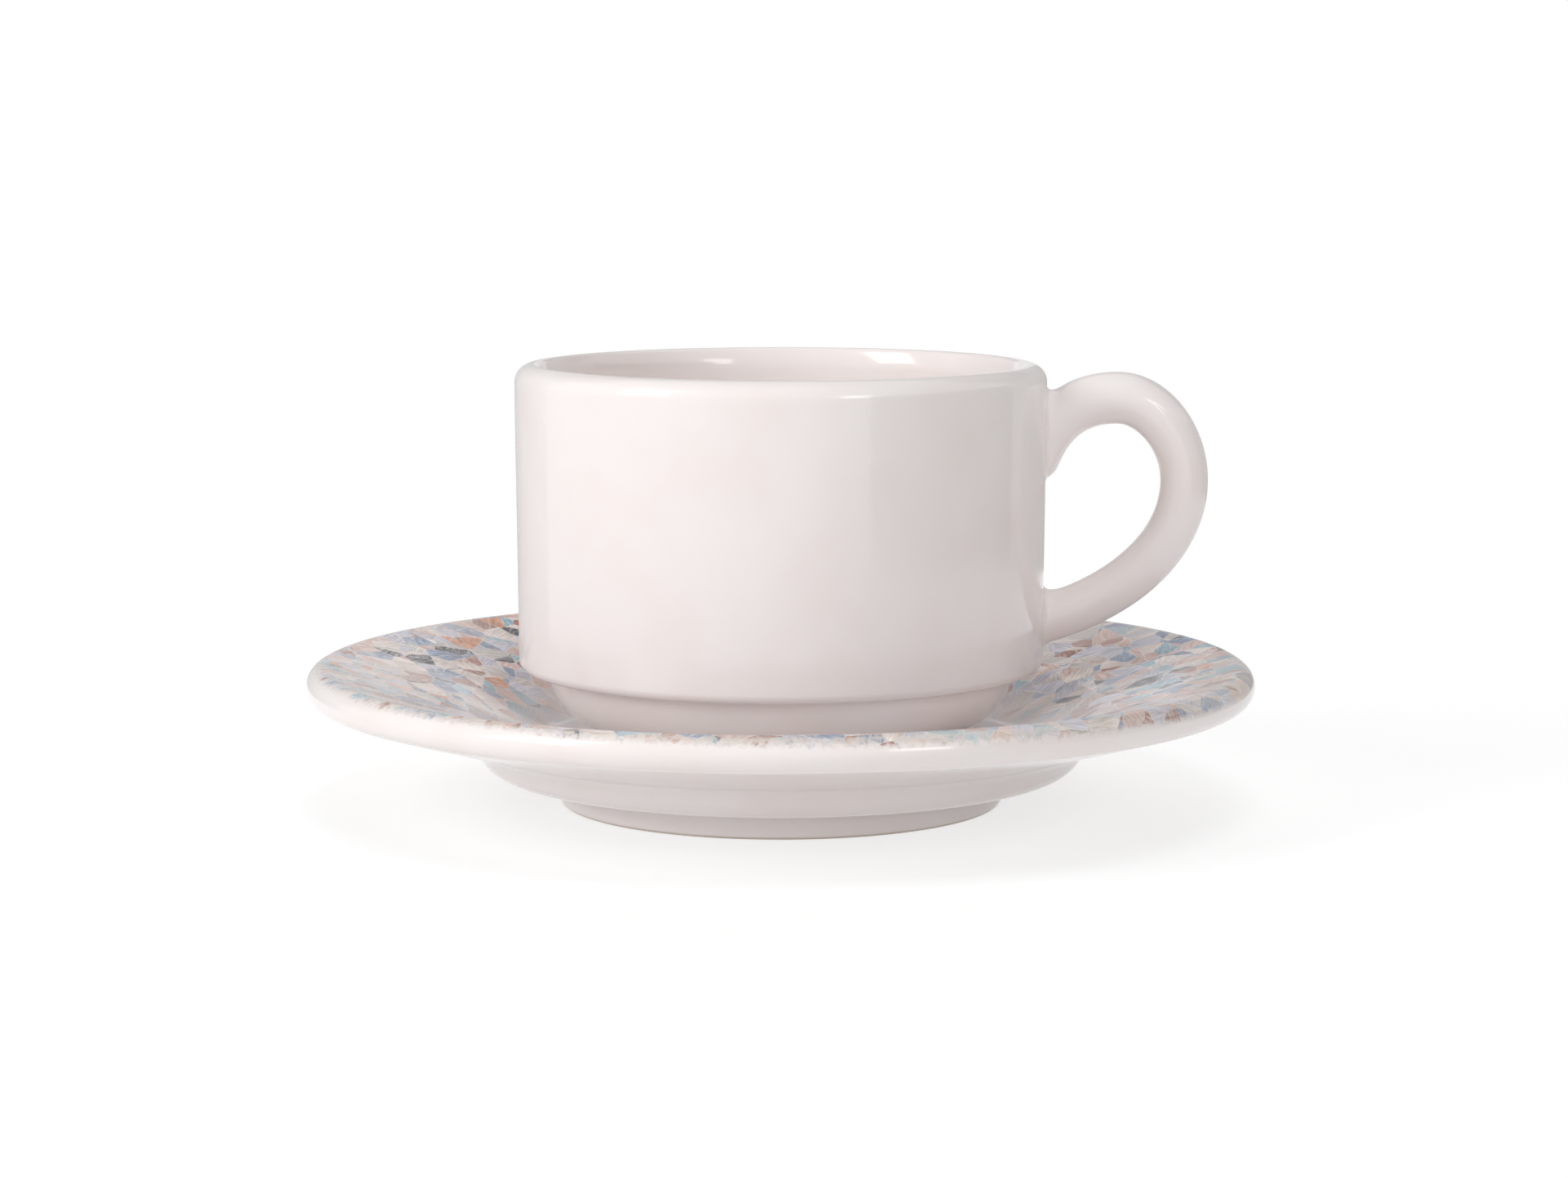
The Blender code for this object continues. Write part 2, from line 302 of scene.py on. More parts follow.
def onWall(point, above):
    r = (wallRadius(point.z) + above) / math.hypot(point.x, point.y)
    return Vector((point.x * r, point.y * r, point.z))


# how far a root's fillet runs on the bar and on the wall at one place round the bar
def filletSize(sizes, turn):
    outer, side, inner = sizes
    towards = outer if math.cos(turn) > 0 else inner
    share = math.cos(turn) ** 2
    return [s + (t - s) * share for s, t in zip(side, towards)]


# rings of one root, from the free bar down its fillet and into the wall
def rootRings(end, sizes):
    turns = [math.tau * k / handle["around"] for k in range(handle["around"])]
    crossings = [firstPlace(end, midLoop, lambda u: wallGap(barPoint(u, turn)) > 0) for turn in turns]
    feet = [barPoint(u, turn) for u, turn in zip(crossings, turns)]
    middle = sum(feet, Vector()) / len(feet)
    starts, rings = [], [[] for _ in range(handle["filletRows"] + 1)]
    for u, turn, foot in zip(crossings, turns, feet):
        alongBar, upWall = filletSize(sizes, turn)
        start = firstPlace(u, midLoop, lambda v: (barPoint(v, turn) - foot).length > alongBar)
        starts.append(start)
        leave = barPoint(start, turn)
        facing = Vector((foot.x, foot.y, 0)).normalized()
        away = foot - middle
        away = (away - facing * away.dot(facing)).normalized()
        land = onWall(foot + away * upWall, 0.0)
        for row in range(handle["filletRows"]):
            t = (row + 1) / handle["filletRows"]
            rings[row].append(leave * (1 - t) ** 2 + foot * 2 * t * (1 - t) + land * t * t)
        rings[-1].append(onWall(land, -handle["sunkInWall"]))
    return starts, rings


def buildHandle():
    upperStarts, upperRings = rootRings(0.0, handle["upperFillet"])
    lowerStarts, lowerRings = rootRings(1.0, handle["lowerFillet"])
    rings = upperRings[::-1]
    for row in range(handle["rows"] + 1):
        t = row / handle["rows"]
        rings.append([
            barPoint(a + (b - a) * t, math.tau * k / handle["around"])
            for k, (a, b) in enumerate(zip(upperStarts, lowerStarts))
        ])
    rings += lowerRings
    shape = bmesh.new()
    rows = [[shape.verts.new(p * mm) for p in ring] for ring in rings]
    for a, b in zip(rows, rows[1:]):
        for i in range(handle["around"]):
            j = (i + 1) % handle["around"]
            shape.faces.new((a[i], a[j], b[j], b[i]))
    for end in (rows[0], rows[-1]):        # close both ends inside the wall
        hub = shape.verts.new(sum((v.co for v in end), Vector()) / len(end))
        for i in range(handle["around"]):
            shape.faces.new((end[i], end[(i + 1) % handle["around"]], hub))
    return meshPiece("cupHandle", shape)


cupHandle = buildHandle()
print("handle:", len(cupHandle.data.polygons), "faces")


# saucer: pressed dish with a seat for the cup, a sloping flange, a full round rim and a foot ring; mm
saucer = {
    "seatClearance": 1.5, "seatDepth": 0.8, "wellFloorRun": 10.7, "wellSlopeRun": 11.5, "wellDepth": 6.4,
    "wellRound": 9.0, "wellEdgeRound": 1.3, "flangeWidth": 24.3, "flangeSlope": 16.0, "rimThick": 5.5,
    "floor": 4.7, "footHeight": 4.3, "footInset": 3.7, "footWidth": 3.8, "footDraft": 0.3, "footRound": 0.9,
    # under the flange the belly leans in, and comes down to the foot ring over a round edge
    "bellyInset": 1.8, "bellyLean": 2.2, "bellyRise": 1.1, "bellyCove": 5.6, "bellyEdge": 4.7,
    # pressed ware leaves the kiln a little out of true, past trueRadius more and more so
    "warp": 0.10, "unevenness": 0.05, "trueRadius": 40, "warpRun": 35,
    "lobes": 1.1, "lobeSeed": 5, "swellSize": 15, "swellSeed": 9,
    "steps": 256, "longest": 1.6,
}


def saucerProfile():
    seat = cup["footRadius"] + saucer["seatClearance"]
    seatLevel = saucer["footHeight"] + saucer["floor"]
    wellFloor = seatLevel + saucer["seatDepth"]
    wellFloorRadius = seat + saucer["wellFloorRun"]
    wellRadius = wellFloorRadius + saucer["wellSlopeRun"]
    foot = wellFloorRadius - saucer["footInset"]
    innerFoot = foot - saucer["footDraft"] - saucer["footWidth"]
    belly = wellRadius - saucer["bellyInset"]
    slopeAngle = math.radians(saucer["flangeSlope"])
    rimRound = saucer["rimThick"] / 2
    slope = Vector((math.cos(slopeAngle), math.sin(slopeAngle)))
    down = Vector((slope.y, -slope.x))
    edge = Vector((wellRadius, wellFloor + saucer["wellDepth"]))
    rim = edge + down * rimRound
    rim += slope * ((wellRadius + saucer["flangeWidth"] - rimRound - rim.x) / slope.x)
    under = edge + down * saucer["rimThick"]
    bellyTop = under.y - (under.x - belly) * math.tan(slopeAngle)
    upper = roundCorners([
        (0.0, seatLevel, 0.0),
        (seat, seatLevel, saucer["seatDepth"]),
        (seat + saucer["seatDepth"], wellFloor, saucer["seatDepth"]),
        (wellFloorRadius, wellFloor, saucer["wellRound"]),
        (*edge, saucer["wellEdgeRound"]),
        (*(rim - down * rimRound), 0.0),
    ])
    lower = roundCorners([
        (*(rim + down * rimRound), 0.0),
        (belly, bellyTop, saucer["bellyCove"]),
        (belly - saucer["bellyLean"], saucer["footHeight"] + saucer["bellyRise"], saucer["bellyEdge"]),
        (foot, saucer["footHeight"], saucer["footRound"]),
        (foot - saucer["footDraft"], 0.0, saucer["footRound"]),
        (innerFoot, 0.0, saucer["footRound"]),
        (innerFoot - saucer["footDraft"], saucer["footHeight"], saucer["footRound"]),
        (0.0, saucer["footHeight"], 0.0),
    ])
    edgeArc = arcPoints(rim, rimRound, slopeAngle + math.pi / 2, slopeAngle - math.pi / 2)
    saucer["wellRadius"] = wellRadius        # the print is placed by these three
    saucer["rimRadius"] = rim.x
    saucer["rimCrest"] = rim.y + rimRound
    return upper[:-1] + edgeArc + lower[1:]


def saucerUneven(c, s, radius, height):
    outer = max(0.0, radius - saucer["trueRadius"]) / saucer["warpRun"]        # the foot ring stays true
    lobes = noise.noise(Vector((c * saucer["lobes"] + saucer["lobeSeed"], s * saucer["lobes"], 0)))
    x, y, z = [v / saucer["swellSize"] for v in (c * radius, s * radius, height)]
    small = noise.noise(Vector((x, y, z + saucer["swellSeed"])))
    aside = saucer["unevenness"] * small * outer
    return aside, saucer["warp"] * lobes * outer + aside


saucerDish = turnProfile("saucerDish", saucerProfile(), saucer["steps"], saucer["longest"], saucerUneven)
print("saucer:", len(saucerDish.data.polygons), "faces")


# vitrified hotel china under a dipped, glossy ivory glaze: clear reflections, a little warmer where it lies
# thick, with a faint ripple and the odd pinprick speck; mm
glaze = {
    "ivory": "#f6efed", "mottleSize": 14.0,
    "thick": "#f0e1da", "thickShows": 0.28, "thickRange": (0.42, 0.75),        # of the mottle's noise
    "speck": "#a8988c", "speckShows": 0.4, "speckSpacing": 11.0, "speckRadius": 0.14,
    "ripple": 3.0, "rippleDepth": 0.004,
    "roughness": 0.11, "roughnessSpread": 0.04, "ior": 1.52,
}
# the foot ring is wiped clean of glaze before firing, and ground: dry, pale and matt
groundFoot = {"clay": "#dccfc3", "roughness": 0.72, "bare": 0.35, "bareEdge": 0.105, "grain": 0.5}


# coordinates of a piece in mm
def mmCoords(tree):
    place = addNode(tree, "ShaderNodeTexCoord")
    return addNode(tree, "ShaderNodeVectorMath", {"operation": "SCALE", "Scale": 1 / mm},
                   {0: place.outputs["Object"]})


# colour, bareness, roughness and bump of the plain glaze; footLevel is the height of the foot ring's base
def glazeSurface(tree, coords, footLevel):
    mottle = addNode(tree, "ShaderNodeTexNoise", {"Scale": 1 / glaze["mottleSize"], "Detail": 2.0},
                     {"Vector": coords})
    low, high = glaze["thickRange"]
    pooled = addNode(tree, "ShaderNodeMapRange",
                     {"From Min": low, "From Max": high, "To Max": glaze["thickShows"]}, {"Value": mottle})
    body = addNode(tree, "ShaderNodeMix",
                   {"data_type": "RGBA", mixA: hexColor(glaze["ivory"]), mixB: hexColor(glaze["thick"])},
                   {0: pooled})
    dots = addNode(tree, "ShaderNodeTexVoronoi", {"Scale": 1 / glaze["speckSpacing"]}, {"Vector": coords})
    chance = addNode(tree, "ShaderNodeSeparateColor", links={0: dots.outputs["Color"]})
    reach = addNode(tree, "ShaderNodeMath",
                    {"operation": "MULTIPLY", 1: glaze["speckRadius"] / glaze["speckSpacing"]}, {0: chance})
    isSpeck = addNode(tree, "ShaderNodeMath", {"operation": "LESS_THAN"},
                      {0: dots.outputs["Distance"], 1: reach})
    speck = addNode(tree, "ShaderNodeMath", {"operation": "MULTIPLY", 1: glaze["speckShows"]}, {0: isSpeck})
    speckled = addNode(tree, "ShaderNodeMix", {"data_type": "RGBA", mixB: hexColor(glaze["speck"])},
                       {0: speck, mixA: body.outputs[mixOut]})

    height = addNode(tree, "ShaderNodeSeparateXYZ", links={0: coords})
    wiped = footLevel + groundFoot["bare"]
    bare = addNode(tree, "ShaderNodeMapRange",
                   {"From Min": wiped + groundFoot["bareEdge"], "From Max": wiped},
                   {"Value": height.outputs["Z"]})
    grit = addNode(tree, "ShaderNodeTexNoise", {"Scale": 1 / groundFoot["grain"], "Detail": 3.0},
                   {"Vector": coords})
    ripple = addNode(tree, "ShaderNodeTexNoise", {"Scale": 1 / glaze["ripple"], "Detail": 1.0},
                     {"Vector": coords})
    gloss = addNode(tree, "ShaderNodeMapRange",
                    {"To Min": glaze["roughness"] - glaze["roughnessSpread"] / 2,
                     "To Max": glaze["roughness"] + glaze["roughnessSpread"] / 2}, {"Value": mottle})
    roughness = addNode(tree, "ShaderNodeMix", {valueB: groundFoot["roughness"]}, {0: bare, valueA: gloss})
    relief = addNode(tree, "ShaderNodeMix", links={0: bare, valueA: ripple, valueB: grit})
    bump = addNode(tree, "ShaderNodeBump", {"Strength": 1.0, "Distance": glaze["rippleDepth"] * mm},
                   {"Height": relief})
    return speckled.outputs[mixOut], bare, roughness, bump


def finishMaterial(tree, color, bare, roughness, bump):
    footed = addNode(tree, "ShaderNodeMix", {"data_type": "RGBA", mixB: hexColor(groundFoot["clay"])},
                     {0: bare, mixA: color})
    shader = addNode(tree, "ShaderNodeBsdfPrincipled", {"IOR": glaze["ior"]},
                     {"Base Color": footed.outputs[mixOut], "Roughness": roughness, "Normal": bump})
    addNode(tree, "ShaderNodeOutputMaterial", links={"Surface": shader})


def glazedChina():
    made = newMaterial("glazedIvoryChina")
    tree = made.node_tree
    finishMaterial(tree, *glazeSurface(tree, mmCoords(tree), cup["level"]))
    return made


# in-glaze print of broken tiles in the same glaze: washes of colour in small shards with hairline joints,
# drawn flat from above, so that it stretches down the slopes, folds over the rim and frays out there; mm,
# and each range is the part of a noise over which its effect comes in
tilePrint = {
    "tile": 4.5, "split": 6.8,        # sizes of the two sets of cracks
    "origin": (-17.9, 22.6, 0.0),        # where one set lies against the other
    "wander": 0.45, "wanderSize": 1.8,
    "joint": 0.14, "jointCore": 0.3, "jointColor": "#efe8e3",        # half width, and its share at full tone
    "jointShows": 0.75, "jointLeast": 0.1, "jointGaps": 5.0, "gapRange": (0.40, 0.60),
    "pool": 0.16,        # a wash is darker by this much on one side of its shard, and lighter on the other
    "strokeLong": 4.0, "strokeWide": 0.4, "strokeShows": 0.3, "strokeRange": (0.3, 0.7),
    "rubLong": 3.4, "rubWide": 0.7, "rubShows": 0.62, "rubRange": (0.46, 0.70),
    "fadeSize": 26.0, "fade": 0.45, "fadeRange": (0.42, 0.70), "wellFade": 0.85, "wellFadeRun": 10,
    "pale": "#efe8e6",
    # past the rim's crest: reach, how much further on the right, frayed ends and pale smudges
    "over": 1.1, "lean": 0.9, "soft": 0.45, "fray": 0.5, "fraySize": 0.9, "frayRange": (0.25, 0.75),
    "smudge": 0.8, "smudgeRight": 0.3, "smudgeSize": 1.8, "smudgeRange": (0.34, 0.50), "smudgeDrop": 0.35,
    "smudgeColor": "#e0d5cd",
    "leastUp": 0.15,        # the print ends where the surface looks up less than this
    "washes": [        # share of the shards, then colour
        (0.14, "#e1d4cc"), (0.17, "#c3c2cf"), (0.13, "#cec7c3"), (0.14, "#d3b2a7"), (0.09, "#a2705f"),
        (0.03, "#d08c60"), (0.12, "#93b5c2"), (0.11, "#8496b0"), (0.07, "#343841"),
    ],
}


# colour of the shards, by place seen from above
def tileWashes(tree, flat):
    stray = addNode(tree, "ShaderNodeTexNoise", {"Scale": 1 / tilePrint["wanderSize"], "Detail": 3.0},
                    {"Vector": flat})
    centred = addNode(tree, "ShaderNodeVectorMath", {"operation": "SUBTRACT", 1: (0.5, 0.5, 0.5)},
                      {0: stray.outputs["Color"]})
    shift = addNode(tree, "ShaderNodeVectorMath", {"operation": "SCALE", "Scale": 2 * tilePrint["wander"]},
                    {0: centred})
    place = addNode(tree, "ShaderNodeVectorMath", {"operation": "ADD"}, {0: flat, 1: shift})
    crossed = addNode(tree, "ShaderNodeVectorMath", {"operation": "ADD", 1: tilePrint["origin"]},
                      {0: place})

    # two sets of cracks cross, so that the shards come out as corners, wedges and slivers
    ids, edges = [], []
    for source, size in ((crossed, tilePrint["split"]), (place, tilePrint["tile"])):
        cell = addNode(tree, "ShaderNodeTexVoronoi", {"voronoi_dimensions": "2D", "Scale": 1 / size},
                       {"Vector": source})
        crack = addNode(tree, "ShaderNodeTexVoronoi",
                        {"voronoi_dimensions": "2D", "feature": "DISTANCE_TO_EDGE", "Scale": 1 / size},
                        {"Vector": source})
        ids.append(addNode(tree, "ShaderNodeSeparateColor", links={0: cell.outputs["Color"]}))
        edges.append(addNode(tree, "ShaderNodeMath", {"operation": "MULTIPLY", 1: size},
                             {0: crack.outputs["Distance"]}))
    pair = addNode(tree, "ShaderNodeCombineXYZ", links={0: ids[0].outputs[0], 1: ids[1].outputs[1]})
    lot = addNode(tree, "ShaderNodeTexWhiteNoise", links={"Vector": pair})
    toEdge = addNode(tree, "ShaderNodeMath", {"operation": "MINIMUM"}, {0: edges[0], 1: edges[1]})
    wash = addNode(tree, "ShaderNodeValToRGB", links={0: lot.outputs["Value"]})
    ramp = wash.color_ramp
    ramp.interpolation = "CONSTANT"
    start = 0.0
    for i, (share, tint) in enumerate(tilePrint["washes"]):
        stop = ramp.elements[0] if i == 0 else ramp.elements.new(start)
        stop.color = hexColor(tint)
        start += share
    ramp.elements.remove(ramp.elements[-1])

    # each shard's wash pools to one side, and its brush strokes run that way too
    random = addNode(tree, "ShaderNodeSeparateColor", links={0: lot.outputs["Color"]})
    angle = addNode(tree, "ShaderNodeMath", {"operation": "MULTIPLY", 1: math.tau}, {0: random.outputs[1]})
    fromMiddle = addNode(tree, "ShaderNodeVectorMath", {"operation": "SUBTRACT"},
                         {0: place, 1: cell.outputs["Position"]})
    leaning = addNode(tree, "ShaderNodeVectorRotate", {"rotation_type": "Z_AXIS"},
                      {"Vector": fromMiddle, "Angle": angle})
    lean = addNode(tree, "ShaderNodeSeparateXYZ", links={0: leaning})
    half = tilePrint["tile"] / 2
    pool = addNode(tree, "ShaderNodeMapRange",
                   {"From Min": -half, "From Max": half, "To Min": 1 - tilePrint["pool"],
                    "To Max": 1 + tilePrint["pool"]}, {"Value": lean.outputs["X"]})
    turned = addNode(tree, "ShaderNodeVectorRotate", {"rotation_type": "Z_AXIS"},
                     {"Vector": flat, "Angle": angle})
    drawn = addNode(tree, "ShaderNodeVectorMath",
                    {"operation": "MULTIPLY",
                     1: (1 / tilePrint["strokeLong"], 1 / tilePrint["strokeWide"], 0)}, {0: turned})
    stroke = addNode(tree, "ShaderNodeTexNoise", {"Scale": 1.0, "Detail": 3.0}, {"Vector": drawn})
    low, high = tilePrint["strokeRange"]
    brushed = addNode(tree, "ShaderNodeMapRange",
                      {"From Min": low, "From Max": high, "To Min": 1 - tilePrint["strokeShows"],
                       "To Max": 1 + tilePrint["strokeShows"]}, {"Value": stroke})
    tone = addNode(tree, "ShaderNodeMath", {"operation": "MULTIPLY"}, {0: pool, 1: brushed})
    painted = addNode(tree, "ShaderNodeVectorMath", {"operation": "SCALE"}, {0: wash, "Scale": tone})

    # rubbed to a pale ground in small flecks and in whole patches, with the joints left pale too
    wiped = addNode(tree, "ShaderNodeVectorMath",
                    {"operation": "MULTIPLY",
                     1: (1 / tilePrint["rubLong"], 1 / tilePrint["rubWide"], 0)}, {0: turned})
    fleck = addNode(tree, "ShaderNodeTexNoise", {"Scale": 1.0, "Detail": 4.0}, {"Vector": wiped})
    patch = addNode(tree, "ShaderNodeTexNoise", {"Scale": 1 / tilePrint["fadeSize"], "Detail": 2.0},
                    {"Vector": flat})
    low, high = tilePrint["rubRange"]
    rubbed = addNode(tree, "ShaderNodeMapRange",
                     {"From Min": low, "From Max": high, "To Max": tilePrint["rubShows"]}, {"Value": fleck})
    low, high = tilePrint["fadeRange"]
    faded = addNode(tree, "ShaderNodeMapRange",
                    {"From Min": low, "From Max": high, "To Max": tilePrint["fade"]}, {"Value": patch})
    run = addNode(tree, "ShaderNodeVectorMath", {"operation": "LENGTH"}, {0: flat})
    inner = addNode(tree, "ShaderNodeMapRange",
                    {"From Min": saucer["wellRadius"],
                     "From Max": saucer["wellRadius"] - tilePrint["wellFadeRun"],
                     "To Max": tilePrint["wellFade"]}, {"Value": run.outputs["Value"]})
    palest = addNode(tree, "ShaderNodeMath", {"operation": "MAXIMUM"}, {0: rubbed, 1: faded})
    thin = addNode(tree, "ShaderNodeMath", {"operation": "MAXIMUM"}, {0: palest, 1: inner})
    worn = addNode(tree, "ShaderNodeMix", {"data_type": "RGBA", mixB: hexColor(tilePrint["pale"])},
                   {0: thin, mixA: painted})
    gaps = addNode(tree, "ShaderNodeTexNoise", {"Scale": 1 / tilePrint["jointGaps"]}, {"Vector": flat})
    low, high = tilePrint["gapRange"]
    clear = addNode(tree, "ShaderNodeMapRange",
                    {"From Min": low, "From Max": high, "To Min": tilePrint["jointLeast"],
                     "To Max": tilePrint["jointShows"]}, {"Value": gaps})
    joint = addNode(tree, "ShaderNodeMapRange",
                    {"From Min": tilePrint["joint"] * tilePrint["jointCore"],
                     "From Max": tilePrint["joint"], "To Max": 0.0}, {"Value": toEdge, "To Min": clear})
    return addNode(tree, "ShaderNodeMix", {"data_type": "RGBA", mixB: hexColor(tilePrint["jointColor"])},
                   {0: joint, mixA: worn.outputs[mixOut]})


# how far a point lies below the rim's crest on its outer side, and the place of the print there: it was
# laid on from above and folds down over the rim
def printPlace(tree, coords):
    axes = addNode(tree, "ShaderNodeSeparateXYZ", links={0: coords})
    above = addNode(tree, "ShaderNodeVectorMath", {"operation": "MULTIPLY", 1: (1, 1, 0)}, {0: coords})
    run = addNode(tree, "ShaderNodeVectorMath", {"operation": "LENGTH"}, {0: above})
    outside = addNode(tree, "ShaderNodeMath", {"operation": "GREATER_THAN", 1: saucer["rimRadius"]},
                      {0: run.outputs["Value"]})
    below = addNode(tree, "ShaderNodeMath", {"operation": "SUBTRACT", 0: saucer["rimCrest"]},
                    {1: axes.outputs["Z"]})
    drop = addNode(tree, "ShaderNodeMath", {"operation": "MULTIPLY"}, {0: below, 1: outside})
    folded = addNode(tree, "ShaderNodeMath", {"operation": "DIVIDE"}, {0: drop, 1: run.outputs["Value"]})
    stretch = addNode(tree, "ShaderNodeMath", {"operation": "ADD", 1: 1.0}, {0: folded})
    flat = addNode(tree, "ShaderNodeVectorMath", {"operation": "SCALE"}, {0: above, "Scale": stretch})
    return drop, flat


# how much of the print shows, and how much of it is smudged: whole on the upper face, it smudges and frays
# out a little way down the rim's outer side; it was laid on a little askew, so that on the right it goes
# further and smudges less
def printCover(tree, coords, drop):
    axes = addNode(tree, "ShaderNodeSeparateXYZ", links={0: coords})
    rough = addNode(tree, "ShaderNodeTexNoise",
                    {"Scale": 1 / tilePrint["fraySize"], "Detail": 5.0, "Roughness": 0.65},
                    {"Vector": coords})
    low, high = tilePrint["frayRange"]
    stray = addNode(tree, "ShaderNodeMapRange",
                    {"From Min": low, "From Max": high, "To Min": -tilePrint["fray"],
                     "To Max": tilePrint["fray"]}, {"Value": rough})
    askew = addNode(tree, "ShaderNodeMath",
                    {"operation": "MULTIPLY", 1: -tilePrint["lean"] / saucer["rimRadius"]},
                    {0: axes.outputs["X"]})
    laid = addNode(tree, "ShaderNodeMath", {"operation": "ADD"}, {0: drop, 1: askew})
    strayed = addNode(tree, "ShaderNodeMath", {"operation": "ADD"}, {0: laid, 1: stray})
    kept = addNode(tree, "ShaderNodeMapRange",
                   {"From Min": tilePrint["over"] - tilePrint["soft"],
                    "From Max": tilePrint["over"] + tilePrint["soft"],
                    "To Min": 1.0, "To Max": 0.0}, {"Value": strayed})
    blot = addNode(tree, "ShaderNodeTexNoise", {"Scale": 1 / tilePrint["smudgeSize"], "Detail": 3.0},
                   {"Vector": coords})
    well = saucer["wellRadius"]        # the smudges ease off from a third of it on the right
    heavy = addNode(tree, "ShaderNodeMapRange",
                    {"From Min": well / 3, "From Max": well, "To Min": tilePrint["smudge"],
                     "To Max": tilePrint["smudgeRight"]}, {"Value": axes.outputs["X"]})
    low, high = tilePrint["smudgeRange"]
    blotted = addNode(tree, "ShaderNodeMapRange", {"From Min": low, "From Max": high},
                      {"Value": blot, "To Max": heavy})
    lower = addNode(tree, "ShaderNodeMapRange", {"From Max": tilePrint["smudgeDrop"]}, {"Value": drop})
    smudged = addNode(tree, "ShaderNodeMath", {"operation": "MULTIPLY"}, {0: blotted, 1: lower})
    facing = addNode(tree, "ShaderNodeNewGeometry")
    upright = addNode(tree, "ShaderNodeSeparateXYZ", links={0: facing.outputs["True Normal"]})
    up = addNode(tree, "ShaderNodeMath", {"operation": "GREATER_THAN", 1: tilePrint["leastUp"]},
                 {0: upright.outputs["Z"]})
    return addNode(tree, "ShaderNodeMath", {"operation": "MULTIPLY"}, {0: kept, 1: up}), smudged


def printedChina():
    made = newMaterial("glazedPrintedChina")
    tree = made.node_tree
    coords = mmCoords(tree)
    color, bare, roughness, bump = glazeSurface(tree, coords, 0.0)
    drop, flat = printPlace(tree, coords)
    cover, smudged = printCover(tree, coords, drop)
    washes = addNode(tree, "ShaderNodeMix", {"data_type": "RGBA", mixB: hexColor(tilePrint["smudgeColor"])},
                     {0: smudged, mixA: tileWashes(tree, flat).outputs[mixOut]})
    dressed = addNode(tree, "ShaderNodeMix", {"data_type": "RGBA"},
                      {0: cover, mixA: color, mixB: washes.outputs[mixOut]})
    finishMaterial(tree, dressed.outputs[mixOut], bare, roughness, bump)
    return made


ivoryGlaze = glazedChina()
printGlaze = printedChina()
for piece, node, body, slot, finish in (
    (cupBody, "cup_body", "cup", "ivory_glaze", ivoryGlaze),
    (cupHandle, "cup_handle", "cup", "ivory_glaze", ivoryGlaze),
    (saucerDish, "saucer", "saucer", "printed_glaze", printGlaze),
):
    piece.data.materials.append(finish)
    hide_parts(node)
    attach(piece, body)
print("finishes:", ivoryGlaze.name, "and", printGlaze.name)


# light table: white acrylic that glows a little from below, so that undersides are lit too; close to the
# object it shows the soft shadow, and further out it is plain white up to the horizon
studio = {
    "tableSize": 6000, "tableDrop": 0.05, "tableAlbedo": 0.80, "tableGlow": 0.10,
    # how much of the lit table shows, how far out, and how bright it is by itself; white makes up the rest
    "shadowShare": 0.40, "shadowNear": 130, "shadowFar": 420, "litLevel": 0.80,
    "skyLevel": 0.24,        # how strongly the sky lights the object; it shows as plain white
    # name, azimuth and height in degrees as seen from the cup, distance, width and length in mm, watts, and
    # whether the glaze shows it: the softboxes do, the fills only light
    "lamps": [
        ("keySoftbox", -62, 30, 1200, 450, 620, 4.6, True),
        ("lowFill", -62, 12, 1200, 850, 450, 3.1, False),
        ("rightSoftbox", 33, 19, 1200, 310, 310, 1.35, True),
        ("frontFill", 12, 8, 1200, 700, 300, 1.5, False),
        ("topFill", 20, 74, 1200, 600, 600, 3.5, False),
        ("backFill", 170, 32, 1200, 1200, 700, 6.0, False),
    ],
    # name, from and to azimuth, distance, from and to height, tone: sheets that glow with their tone and
    # only show in the glaze as painted reflections, the side ones as soft edges on the cup, and a pale one
    # under a darker one that dim the saucer's shine
    "cards": [
        ("rightCard", 36, 112, 330, 1, 170, "#504c4a"),
        ("rightEdgeCard", 112, 166, 300, 1, 170, "#bfbdbc"),
        ("leftEdgeCard", 194, 250, 200, 1, 170, "#c6c5c5"),
        ("backCard", 166, 194, 650, 25, 230, "#e7e7e9"),
        ("upperCard", 120, 240, 650, 230, 800, "#999799"),
    ],
}


# 1 for the rays that show the studio itself: straight to the camera, or by a reflection or through glass
def shownRays(tree):
    rays = addNode(tree, "ShaderNodeLightPath")
    seen = addNode(tree, "ShaderNodeMath", {"operation": "MAXIMUM"},
                   {0: rays.outputs["Is Camera Ray"], 1: rays.outputs["Is Glossy Ray"]})
    return addNode(tree, "ShaderNodeMath", {"operation": "MAXIMUM"},
                   {0: seen, 1: rays.outputs["Is Transmission Ray"]})


